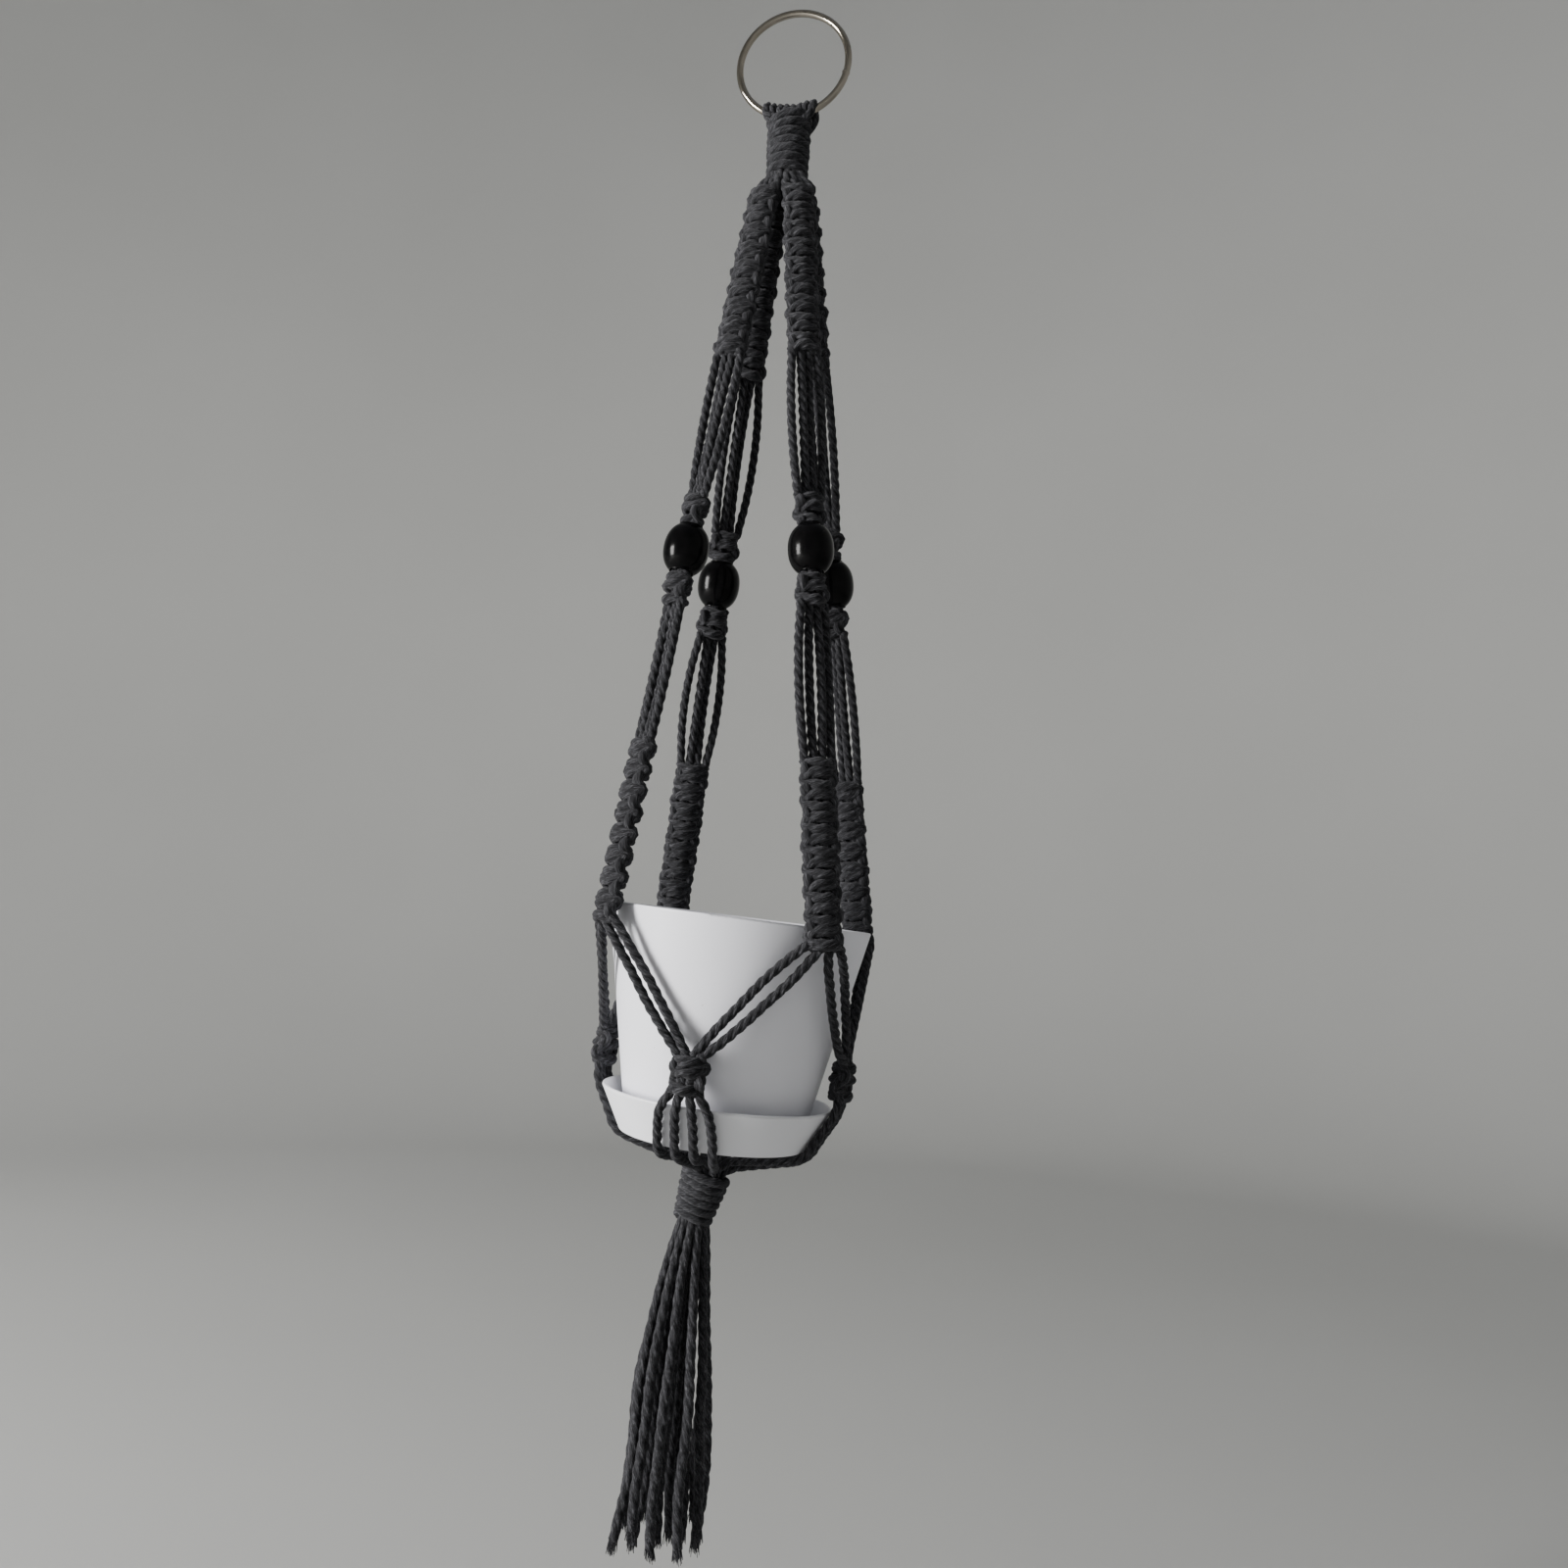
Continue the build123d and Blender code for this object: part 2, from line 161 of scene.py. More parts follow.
# Light and camera, with places in metres
KEY_AT = (-1.62, -1.16, -0.08)
KEY_AIM = (0, 0, -0.40)
KEY_SIZE = (0.6, 0.95)
KEY_POWER = 90
KEY_COLOUR = (1.0, 0.99, 0.97)
FILL_COLOUR = (0.93, 0.96, 1.0, 1)
FILL_STRENGTH = 0.26
CAMERA_AT = (0.12124, -0.49315, -0.38868)
CAMERA_TURN = (-12.248, 6.642, 3.381)
CAMERA_SENSOR = 36
CAMERA_LENS = 29.52


# ---------------------------------------------------------------- places

def unit(vector):
    """The vector at length one."""
    return vector / np.linalg.norm(vector)


def polar(radius, azimuth, height=0.0):
    """A point from its distance to the axis, its direction and its height."""
    return np.array([radius * cos(radians(azimuth)), radius * sin(radians(azimuth)), height])


class Place:
    """A local frame in the object: an origin, x across and z along."""

    def __init__(self, origin, across, along):
        self.origin = np.asarray(origin, float)
        self.z = unit(np.asarray(along, float))
        self.x = unit(across - self.z * (across @ self.z))
        self.y = np.cross(self.z, self.x)

    def out(self, points):
        """Local points as points of the whole object."""
        return self.origin + np.asarray(points, float) @ np.array([self.x, self.y, self.z])

    def into(self, points):
        """Points of the whole object as local ones."""
        return (np.asarray(points, float) - self.origin) @ np.array([self.x, self.y, self.z]).T


def joint_point(name):
    """Where a joint of the frame is, in millimetres."""
    return np.array(JOINTS[name]["pos_m"]) / MM


def joint_axis(name):
    """A joint's direction."""
    return unit(np.array(JOINTS[name]["axis"]))


POT_AXIS = joint_axis("pot_turn")
RIM_CENTRE = joint_point("pot_turn") + POT_AXIS * POT_HEIGHT
BASKET = Place(RIM_CENTRE, np.array([1.0, 0, 0]), POT_AXIS)
PIVOT = joint_point("tassel_sway")


def arm_place(name):
    """An arm's frame: x across its face, y outward, z down the arm."""
    axis = joint_axis(f"{name}_bead_spin")
    start = joint_point(f"{name}_bead_spin") - axis * BEAD_AT
    return Place(start, polar(1, ARMS[name] + 90), axis)


def arm_end(place, azimuth):
    """How far down its frame an arm's last knot ends."""
    rim = BASKET.out(polar(ARM_RIM_R, azimuth))
    return np.linalg.norm(rim - place.origin) + ARM_BELOW_RIM


def side_place(azimuth):
    """A basket knot's frame: x across, y outward, z down, at the middle of the knot's top."""
    across = BASKET.out(polar(1, azimuth + 90)) - BASKET.origin
    return Place(BASKET.out(polar(SIDE_KNOT_R, azimuth, SIDE_KNOT_TOP)), across, -BASKET.z)


# ---------------------------------------------------------------- lines

def even(line, step=CORD_STEP):
    """The same line with its points a given step apart."""
    line = np.asarray(line, float)
    along = np.concatenate([[0], np.cumsum(np.linalg.norm(np.diff(line, axis=0), axis=1))])
    count = max(3, int(round(along[-1] / step)) + 1)
    at = np.linspace(0, along[-1], count)
    return np.stack([np.interp(at, along, line[:, axis]) for axis in range(3)], axis=1)


def through(points, parts=10):
    """A smooth line through the points."""
    points = np.asarray(points, float)
    padded = np.vstack([2 * points[0] - points[1], points, 2 * points[-1] - points[-2]])
    t = np.linspace(0, 1, parts, endpoint=False)[:, None]
    line = []
    for a, b, c, d in zip(padded, padded[1:], padded[2:], padded[3:]):
        squared = (2 * a - 5 * b + 4 * c - d) * t**2
        cubed = (3 * b - a - 3 * c + d) * t**3
        line.append(0.5 * (2 * b + (c - a) * t + squared + cubed))
    return np.vstack(line + [points[-1:]])


def rounded(points, reach):
    """Straight runs with their corners rounded, starting the given reach from each corner."""
    points = np.asarray(points, float)
    t = np.linspace(0, 1, 9)[:, None]
    line = [points[:1]]
    for before, corner, after in zip(points, points[1:], points[2:]):
        start = corner + unit(before - corner) * min(reach, 0.45 * np.linalg.norm(before - corner))
        end = corner + unit(after - corner) * min(reach, 0.45 * np.linalg.norm(after - corner))
        line.append((1 - t) ** 2 * start + 2 * t * (1 - t) * corner + t**2 * end)
    return np.vstack(line + [points[-1:]])


def nurbs_line(points):
    """The smooth line that a free cord's route gives, as the points of a NURBS spline of order 3."""
    curve = bpy.data.curves.new("route", "CURVE")
    curve.dimensions = "3D"
    curve.resolution_u = 24
    spline = curve.splines.new("NURBS")
    spline.points.add(len(points) - 1)
    for place, point in zip(spline.points, points):
        place.co = (*point, 1)
    spline.order_u = 3
    spline.use_endpoint_u = True
    holder = bpy.data.objects.new("route", curve)
    bpy.context.scene.collection.objects.link(holder)
    bpy.context.view_layer.update()
    mesh = bpy.data.meshes.new_from_object(holder)
    line = np.array([vertex.co for vertex in mesh.vertices])
    bpy.data.objects.remove(holder)
    bpy.data.curves.remove(curve)
    bpy.data.meshes.remove(mesh)
    return line


# ---------------------------------------------------------------- cord meshes

def ply_section():
    """The outline of three plies laid together, as radii of one, and how deep each point is in a crease,
    which the cord's colour darkens as painted shade.
    """
    angles = np.arange(CORD_SIDES) * tau / CORD_SIDES
    from_ply = (angles + pi / 3) % (tau / 3) - pi / 3
    radii = PLY_OFFSET * np.cos(from_ply) + np.sqrt(PLY_RADIUS**2 - (PLY_OFFSET * np.sin(from_ply)) ** 2)
    return angles, radii, (radii.max() - radii) / (radii.max() - radii.min())


SECTION_ANGLES, SECTION_RADII, SECTION_CREASE = ply_section()


def carried_frames(line):
    """Directions across a line at each of its points, turning no more than the line makes them."""
    tangents = np.gradient(line, axis=0)
    tangents /= np.linalg.norm(tangents, axis=1)[:, None]
    aside = (0, 0, 1) if abs(tangents[0][2]) < 0.9 else (0, 1, 0)
    across = [unit(np.cross(tangents[0], aside))]
    for tangent in tangents[1:]:
        across.append(unit(across[-1] - tangent * (across[-1] @ tangent)))
    across = np.array(across)
    return across, np.cross(tangents, across)


def grid_faces(rows, sides, first=0, closed=True):
    """Faces over rings of points in order, the last ring joined to the first one if closed."""
    index = np.arange(rows * sides).reshape(rows, sides) + first
    below = np.roll(index, -1, axis=0)
    quads = np.stack([index, np.roll(index, -1, axis=1), np.roll(below, -1, axis=1), below], axis=-1)
    if not closed:
        quads = quads[:-1]
    return quads.reshape(-1, 4).tolist()


def turned_rings(outline, sides):
    """A ring of points for each (radius, height) of an outline."""
    angles = np.arange(sides) * tau / sides
    return np.stack([outline[:, 0, None] * np.cos(angles), outline[:, 0, None] * np.sin(angles),
                     np.repeat(outline[:, 1, None], sides, axis=1)], axis=-1)


def smooth_mesh(name, points, faces, material):
    """A smooth mesh of one material, from points in metres."""
    mesh = bpy.data.meshes.new(name)
    mesh.from_pydata(points.tolist(), [], faces)
    mesh.polygons.foreach_set("use_smooth", np.ones(len(mesh.polygons), bool))
    mesh.materials.append(material)
    return mesh


class Yarn:
    """Twisted cords gathered into one mesh."""

    def __init__(self, seed):
        self.random = np.random.default_rng(seed)
        self.points = []
        self.faces = []
        self.places = []
        self.creases = []
        self.count = 0

    def add(self, line, diameter=CORD_D, scale=None, relief=0.85, lay=LAY_LENGTH):
        """One cord along a line: its thickness from start to end, how deep its plies show, and their lay."""
        line = even(line)
        size = len(line)
        along = np.arange(size) * CORD_STEP
        across, up = carried_frames(line)
        phase = self.random.uniform(0, tau)
        twist = along[:, None] * tau / (lay * diameter)
        turn = SECTION_ANGLES[None, :] - twist + phase
        section = SECTION_RADII.mean() + (SECTION_RADII - SECTION_RADII.mean()) * relief
        radii = np.repeat(section[None, :] * diameter / 2, size, axis=0)
        radii *= 1 + 0.03 * np.sin(along * 1.3 + phase)[:, None]
        if scale is not None:
            radii *= np.interp(np.linspace(0, 1, size), np.linspace(0, 1, len(scale)), scale)[:, None]
        ends = np.ones(size)
        ends[[0, -1]] = 0.55
        radii *= ends[:, None]
        x = radii * np.cos(turn)
        y = radii * np.sin(turn)
        points = line[:, None] + x[..., None] * across[:, None] + y[..., None] * up[:, None]
        offset = self.random.uniform(0, 500)
        half_turn = turn + 0.72 * twist
        places = np.stack([radii * np.cos(half_turn), radii * np.sin(half_turn),
                           np.repeat(along[:, None] + offset, CORD_SIDES, axis=1)], axis=-1)
        # The crease depth, scaled by the relief, sets the painted shade in the cord's colour.
        self._keep(points, places, np.repeat(SECTION_CREASE[None, :] * relief, size, axis=0))

    def wisp(self, line, thickness):
        """One thin fibre that tapers to its end."""
        line = np.asarray(line, float)
        size = len(line)
        across, up = carried_frames(line)
        angles = np.arange(4) * tau / 4
        radii = thickness / 2 * np.linspace(1, 0.35, size)[:, None]
        points = line[:, None] + (radii * np.cos(angles))[..., None] * across[:, None]
        points = points + (radii * np.sin(angles))[..., None] * up[:, None]
        offset = self.random.uniform(0, 500)
        middle = np.stack([np.zeros(size), np.zeros(size), np.arange(size) + offset], axis=-1)
        places = np.repeat(middle[:, None], 4, axis=1)
        # The wisps take a quarter of the crease depth, a little painted shade in their colour.
        self._keep(points, places, np.full((size, 4), 0.25))

    def _keep(self, points, places, creases):
        """Rings of points, joined into a closed tube."""
        size, sides = points.shape[:2]
        self.faces += grid_faces(size, sides, self.count, closed=False)
        ends = np.arange(sides) + self.count
        self.faces += [ends[::-1].tolist(), (ends + (size - 1) * sides).tolist()]
        self.points.append(points.reshape(-1, 3))
        self.places.append(places.reshape(-1, 3))
        self.creases.append(creases.reshape(-1))
        self.count += size * sides

    def piece(self, name, body, *nodes):
        """The cords as one object that rides on a body and stands for CAD nodes."""
        mesh = smooth_mesh(name, np.vstack(self.points) * MM, self.faces, CORD_MATERIAL)
        place = mesh.attributes.new("cord_place", "FLOAT_VECTOR", "POINT")
        place.data.foreach_set("vector", np.vstack(self.places).astype(np.float32).ravel())
        # How deep each point is in a crease, which darkens the cord's colour as painted shade.
        crease = mesh.attributes.new("cord_crease", "FLOAT", "POINT")
        crease.data.foreach_set("value", np.concatenate(self.creases).astype(np.float32))
        return placed(name, mesh, body, "cord", *nodes)


def placed(name, mesh, body, slot, *nodes):
    """A mesh as an object of the scene, on its body and in place of its CAD nodes; the slot is not used."""
    thing = bpy.data.objects.new(name, mesh)
    bpy.context.scene.collection.objects.link(thing)
    if body is not None:
        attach(thing, body)
    if nodes:
        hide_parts(*nodes)
    return thing


def lathe(name, outline, sides, place, material):
    """A closed outline of (radius, height) turned about a frame's z axis."""
    rings = turned_rings(np.asarray(outline, float), sides)
    points = place.out(rings.reshape(-1, 3)) * MM
    return smooth_mesh(name, points, grid_faces(len(outline), sides), material)


# ---------------------------------------------------------------- materials

def new_material(name):
    """An empty node material with its shader, and a shorthand for adding nodes."""
    material = bpy.data.materials.new(name)
    material.use_nodes = True
    shader = material.node_tree.nodes["Principled BSDF"]

    def add(kind, links=(), **settings):
        """One node, its settings by name, and links from (node, output) to its inputs."""
        node = material.node_tree.nodes.new(kind)
        for key, value in settings.items():
            if hasattr(node, key):
                setattr(node, key, value)
            else:
                node.inputs[key.replace("_", " ").title()].default_value = value
        for target, source in links:
            material.node_tree.links.new(source, node.inputs[target])
        return node

    def feed(socket, source):
        material.node_tree.links.new(source, shader.inputs[socket])

    return material, shader, add, feed


def noise(add, vector, scale, detail=3.0, roughness=0.5, stretch=(1, 1, 1)):
    """Noise along a vector, stretched as given."""
    mapping = add("ShaderNodeMapping", [("Vector", vector)])
    mapping.inputs["Scale"].default_value = stretch
    texture = add("ShaderNodeTexNoise", [("Vector", mapping.outputs["Vector"])])
    texture.inputs["Scale"].default_value = scale
    texture.inputs["Detail"].default_value = detail
    texture.inputs["Roughness"].default_value = roughness
    return texture.outputs["Fac"]


def ramp(add, source, *stops):
    """Colours by value, from (position, colour) stops."""
    node = add("ShaderNodeValToRGB", [("Fac", source)])
    elements = node.color_ramp.elements
    while len(elements) < len(stops):
        elements.new(0.5)
    for element, (position, colour) in zip(elements, stops):
        element.position = position
        element.color = (*colour, 1)
    return node.outputs["Color"]


def multiply(add, first, second, amount=1.0):
    """One colour darkened by another."""
    node = add("ShaderNodeMix", data_type="RGBA", blend_type="MULTIPLY")
    node.inputs[0].default_value = amount
    links = node.id_data.links
    links.new(first, node.inputs[6])
    links.new(second, node.inputs[7])
    return node.outputs[2]


def bump(add, height, distance, strength=1.0, normal=None):
    """A bump from a height, at most the given distance deep, in metres."""
    node = add("ShaderNodeBump", [("Height", height)])
    node.inputs["Distance"].default_value = distance
    node.inputs["Strength"].default_value = strength
    if normal is not None:
        node.id_data.links.new(normal, node.inputs["Normal"])
    return node.outputs["Normal"]


def cord_material():
    """Charcoal cotton: fine fibres along each ply, painted shade in the creases between plies, a little
    faded in patches.
    """
    material, shader, add, feed = new_material("charcoal_cotton_cord")
    place = add("ShaderNodeAttribute", attribute_name="cord_place").outputs["Vector"]
    crease = add("ShaderNodeAttribute", attribute_name="cord_crease").outputs["Fac"]
    fibres = noise(add, place, 3.4, 4.0, 0.62, stretch=(1, 1, 0.16))
    patches = noise(add, place, 0.22, 2.0)
    fibre_tone = ramp(add, fibres, (0.32, (0.007, 0.007, 0.008)), (0.5, (0.029, 0.029, 0.032)),
                      (0.68, (0.125, 0.125, 0.137)))
    patch_tone = ramp(add, patches, (0.3, (0.66, 0.66, 0.67)), (0.7, (1.0, 1.0, 1.0)))
    # Painted shade: the colour darkens to a fifth deep in the creases between plies.
    painted_crease_shade = ramp(add, crease, (0.2, (1.0, 1.0, 1.0)), (0.9, (0.2, 0.2, 0.21)))
    colour = multiply(add, multiply(add, fibre_tone, patch_tone), painted_crease_shade)
    feed("Base Color", colour)
    feed("Normal", bump(add, fibres, 0.0004, 1.0))
    shader.inputs["Roughness"].default_value = 0.93
    shader.inputs["Specular IOR Level"].default_value = 0.15
    shader.inputs["Sheen Weight"].default_value = 0.12
    shader.inputs["Sheen Roughness"].default_value = 0.45
    shader.inputs["Sheen Tint"].default_value = (0.75, 0.75, 0.8, 1)
    return material


def ring_material():
    """Nickel-plated wire, warm, with fine handling marks."""
    material, shader, add, feed = new_material("nickel_wire")
    where = add("ShaderNodeTexCoord").outputs["Object"]
    marks = noise(add, where, 900, 3.0, 0.6)
    haze = noise(add, where, 70, 2.0)
    feed("Base Color", ramp(add, haze, (0.3, (0.30, 0.27, 0.225)), (0.7, (0.42, 0.385, 0.33))))
    feed("Roughness", ramp(add, marks, (0.3, (0.07, 0.07, 0.07)), (0.75, (0.18, 0.18, 0.18))))
    feed("Normal", bump(add, marks, 0.00002, 0.35))
    shader.inputs["Metallic"].default_value = 1.0
    return material


def bead_material():
    """Black lacquered wood: deep gloss, a trace of grain and of fine rubbing."""
    material, shader, add, feed = new_material("black_lacquer")
    where = add("ShaderNodeTexCoord").outputs["Object"]
    grain = noise(add, where, 260, 3.0, 0.55, stretch=(1, 1, 0.18))
    rubbing = noise(add, where, 1400, 2.0)
    feed("Base Color", ramp(add, grain, (0.35, (0.001, 0.001, 0.0013)), (0.7, (0.003, 0.0028, 0.003))))
    feed("Roughness", ramp(add, rubbing, (0.35, (0.15, 0.15, 0.15)), (0.8, (0.24, 0.24, 0.24))))
    feed("Normal", bump(add, rubbing, 0.00003, 0.2))
    shader.inputs["Specular IOR Level"].default_value = 0.09
    shader.inputs["Coat Weight"].default_value = 0.03
    shader.inputs["Coat Roughness"].default_value = 0.1
    return material


def pot_material(name, tone):
    """White polypropylene, satin, with a faint moulding grain and a few specks of dust."""
    material, shader, add, feed = new_material(name)
    where = add("ShaderNodeTexCoord").outputs["Object"]
    cloud = noise(add, where, 28, 3.0, 0.5)
    grain = noise(add, where, 2600, 2.0)
    dust = noise(add, where, 420, 1.0)
    body = ramp(add, cloud, (0.3, tuple(0.965 * value for value in tone)), (0.7, tone))
    specks = ramp(add, dust, (0.80, (1.0, 1.0, 1.0)), (0.83, (0.55, 0.53, 0.5)))
    feed("Base Color", multiply(add, body, specks))
    feed("Roughness", ramp(add, cloud, (0.3, (0.34, 0.34, 0.34)), (0.7, (0.46, 0.46, 0.46))))
    feed("Normal", bump(add, grain, 0.00002, 0.4))
    shader.inputs["Subsurface Weight"].default_value = 0.08
    shader.inputs["Subsurface Radius"].default_value = (0.004, 0.004, 0.004)
    shader.inputs["Subsurface Scale"].default_value = 1.0
    return material


def stage_material():
    """A plain pale floor and backdrop."""
    material, shader, add, feed = new_material("pale_stage")
    where = add("ShaderNodeTexCoord").outputs["Object"]
    tone = noise(add, where, 1.5, 2.0)
    feed("Base Color", ramp(add, tone, (0.3, (0.52, 0.522, 0.512)), (0.7, (0.545, 0.547, 0.538))))
    shader.inputs["Roughness"].default_value = 0.9
    shader.inputs["Specular IOR Level"].default_value = 0.1
    return material


CORD_MATERIAL = cord_material()
RING_MATERIAL = ring_material()
BEAD_MATERIAL = bead_material()
POT_MATERIAL = pot_material("white_pot_plastic", (0.84, 0.842, 0.90))
SAUCER_MATERIAL = pot_material("white_saucer_plastic", (0.845, 0.85, 0.89))


# ---------------------------------------------------------------- knots

def wobble(t, amount, random):
    """A slow uneven drift along t."""
    a, b, c = random.uniform(0, tau, 3)
    return amount * (np.sin(1.7 * t + a) + 0.7 * np.sin(3.1 * t + b) + 0.5 * np.sin(0.6 * t + c)) / 1.6


def turned(points, degrees):
    """Points turned about a frame's z axis."""
    points = np.array(points, float)
    angle = radians(degrees)
    x = points[:, 0] * cos(angle) - points[:, 1] * sin(angle)
    points[:, 1] = points[:, 0] * sin(angle) + points[:, 1] * cos(angle)
    points[:, 0] = x
    return points


def square_knots(count, pitch, size, diameter, random, start=0.0, rough=0.3, twist=0.18, bulge=0.0):
    """The four strands of a chain of square knots down +z: two that knot, and two straight ones inside."""
    half_width = size[0] / 2 - diameter / 2
    front = size[1] / 2 - diameter / 2
    side = twist * diameter
    t = np.linspace(0, count, count * 24 + 1)
    down = start + pitch * (t + 0.2 * np.sin(tau * t)) + 0.11 * pitch * np.sin(pi * t)
    strands = []
    for hand in (-1, 1):
        fullness = 1 - bulge * (1 - np.sin(pi * t / count))
        x = hand * (half_width * fullness + wobble(t, rough, random)) * np.cos(pi * t)
        swing = (front - side) / 2 - (front + side) / 2 * np.cos(tau * t)
        y = -hand * swing * fullness + wobble(t, rough * 0.6, random)
        strands.append(np.stack([x, y, down + wobble(t, rough * 0.5, random)], axis=1))
    straight = np.linspace(start - 0.5, start + pitch * count + 0.5, count * 3)
    for x in (-FILLER_X, FILLER_X):
        drift = wobble(straight, 0.2, random)
        strands.append(np.stack([x + drift, wobble(straight, 0.2, random), straight], axis=1))
    return strands


def ordered_row(size, diameter):
    """Where four strands leave a chain of knots, from left to right."""
    half_width = size[0] / 2 - diameter / 2
    return [-half_width, -FILLER_X, FILLER_X, half_width]


def free_cords(yarn, place, heights, rows, turns, bows):
    """Four slack cords between two rows down a frame's z, each with its own bow (x, y) halfway."""
    for x0, x1, bow in zip(*rows, bows):
        first = polar(x0, turns[0])[:2]
        last = polar(x1, turns[1])[:2]
        points = []
        for shift, share, full in FREE_CORD_STOPS:
            across = first + (last - first) * share + np.array(bow) * full
            points.append((*across, heights[0] + (heights[1] - heights[0]) * share + shift))
        yarn.add(place.out(through(points)), CORD_D)


# A free cord's points: the shift down past its share of the way, that share, and how full its bow is there
FREE_CORD_STOPS = [(-2.2, 0, 0), (1.5, 0, 0.1), (0, 0.25, 0.76), (0, 0.5, 1), (0, 0.75, 0.76),
                   (-1.5, 1, 0.1), (2.2, 1, 0)]

# Halfway bows (x, y) of each arm's free cords, above and below its bead, from left to right across its face
UPPER_BOWS = {
    "front_left": [(-0.6, 0.6), (-0.8, -1.0), (0.9, 0.8), (0.7, -0.6)],
    "front_right": [(-1.7, 0.3), (-0.4, 0.9), (0.3, -0.9), (1.3, 0.4)],
    "back_right": [(-0.9, 0.4), (0.2, -0.8), (0.4, 0.9), (0.7, -0.4)],
    "back_left": [(-3.1, 0.5), (0.6, 0.9), (0.7, -1.0), (1.2, 0.5)],
}
LOWER_BOWS = {
    "front_left": [(-1.2, -0.8), (-0.3, 0.9), (0.5, -0.7), (1.9, 0.5)],
    "front_right": [(-2.0, 0.4), (-0.5, -0.6), (0.3, 0.9), (0.8, -0.5)],
    "back_right": [(-0.9, 0.6), (-0.5, -0.8), (0.8, 0.6), (2.2, -0.5)],
    "back_left": [(-2.6, 0.5), (0.3, 0.8), (0.5, -0.9), (2.4, 0.4)],
}


def build_arm(name, azimuth, seed):
    """One arm: a chain of knots, free cords, a bead between two knots, free cords and another chain."""
    place = arm_place(name)
    chain_end = CHAIN_START + UPPER_HALF_KNOTS[name] * HALF_KNOT
    bead_half = BEAD_LENGTH / 2 + BEAD_GAP
    knot_above = BEAD_AT - bead_half - BEAD_KNOT_LENGTH
    knot_below = BEAD_AT + bead_half
    lower_end = arm_end(place, azimuth)
    lower_start = lower_end - LOWER_HALF_KNOTS * HALF_KNOT
    chain_row = ordered_row(CHAIN_SIZE, CHAIN_CORD_D)
    knot_row = ordered_row(BEAD_KNOT_SIZE, KNOT_CORD_D)

    yarn = Yarn(seed)
    start = CHAIN_START + CHAIN_LEAD
    count = UPPER_HALF_KNOTS[name] - 2
    pitch = (chain_end - start) / count
    strands = square_knots(count, pitch, CHAIN_SIZE, CHAIN_CORD_D, yarn.random, start)
    for strand in strands:
        strand = turned(strand, UPPER_TURN[name])
        x, y = strand[0][:2]
        lead = []
        for share, inward, height in (*CHAIN_LEAD_IN, (0.85, 1.2, start - 2)):
            lead.append((share * x, share * y - inward, height))
        line = np.vstack([through(np.vstack([lead, strand[:1]]))[:-1], strand])
        yarn.add(place.out(line), CHAIN_CORD_D, relief=CHAIN_RELIEF)
    yarn.piece(f"{name}_upper_knot_chain", "hanger", f"{name}_upper_sinnet")

    yarn = Yarn(seed + 1)
    heights = (chain_end, knot_above)
    free_cords(yarn, place, heights, (chain_row, knot_row), (UPPER_TURN[name], 0), UPPER_BOWS[name])
    yarn.piece(f"{name}_upper_free_cords", "hanger", f"{name}_upper_cords")

    yarn = Yarn(seed + 2)
    for start in (knot_above, knot_below):
        pitch = BEAD_KNOT_LENGTH / BEAD_KNOT_HALF_KNOTS
        strands = square_knots(BEAD_KNOT_HALF_KNOTS, pitch, BEAD_KNOT_SIZE, KNOT_CORD_D, yarn.random, start,
                               rough=0.6, twist=0.4, bulge=0.3)
        for strand in strands:
            yarn.add(place.out(strand), KNOT_CORD_D)
    bundle = [(-2.3, -1.2), (-1.2, 1.9), (1.2, -1.9), (2.3, 1.2)]
    top = knot_above + BEAD_KNOT_LENGTH
    for x, (bundle_x, bundle_y) in zip(knot_row, bundle):
        points = [(0.8 * x, 0, top - 2.5), (bundle_x, bundle_y, top + 0.3),
                  (0.8 * bundle_x, 0.8 * bundle_y, BEAD_AT),
                  (bundle_x, bundle_y, knot_below - 0.3), (0.8 * x, 0, knot_below + 2.5)]
        yarn.add(place.out(through(points)), BORE_CORD_D)
    yarn.piece(f"{name}_bead_knot_cords", "hanger", f"{name}_bead_knots")

    build_bead(name, place)

    yarn = Yarn(seed + 3)
    heights = (knot_below + BEAD_KNOT_LENGTH, lower_start)
    free_cords(yarn, place, heights, (knot_row, chain_row), (0, LOWER_TURN[name]), LOWER_BOWS[name])
    yarn.piece(f"{name}_lower_free_cords", "hanger", f"{name}_lower_cords")

    yarn = Yarn(seed + 4)
    strands = square_knots(LOWER_HALF_KNOTS, HALF_KNOT, CHAIN_SIZE, CHAIN_CORD_D, yarn.random, lower_start,
                           twist=CHAIN_TWIST[name])
    for strand in strands:
        yarn.add(place.out(turned(strand, LOWER_TURN[name])), CHAIN_CORD_D, relief=CHAIN_RELIEF)
    yarn.piece(f"{name}_lower_knot_chain", "hanger", f"{name}_lower_sinnet")


def build_bead(name, place):
    """A barrel bead with a rounded bore."""
    half = BEAD_LENGTH / 2
    bore = BEAD_HOLE_D / 2
    lip = 0.7
    barrel = []
    for angle in np.linspace(0, pi, 41):
        height = half * np.cos(angle)
        share = abs(height) / (half * 1.10)
        radius = BEAD_D / 2 * (1 - share**2.25) ** (1 / 2.25)
        barrel.append((max(bore + lip / 2, radius), height))
    inside = [(bore, -half + lip), (bore, -half / 3), (bore, half / 3), (bore, half - lip)]
    centre = Place(place.out((0, 0, BEAD_AT)), place.x, place.z)
    mesh = lathe(f"{name}_bead_barrel", barrel + inside, 72, centre, BEAD_MATERIAL)
    placed(f"{name}_bead_barrel", mesh, f"{name}_bead", "bead_black", f"{name}_bead")


# ---------------------------------------------------------------- ring and wraps

def ring_circle():
    """The ring's centre height, and its middle and wire radii, from the frame."""
    low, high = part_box("ring")
    wire = (high.y - low.y) / 2 / MM
    return (low.z + high.z) / 2 / MM, (high.x - low.x) / 2 / MM - wire, wire


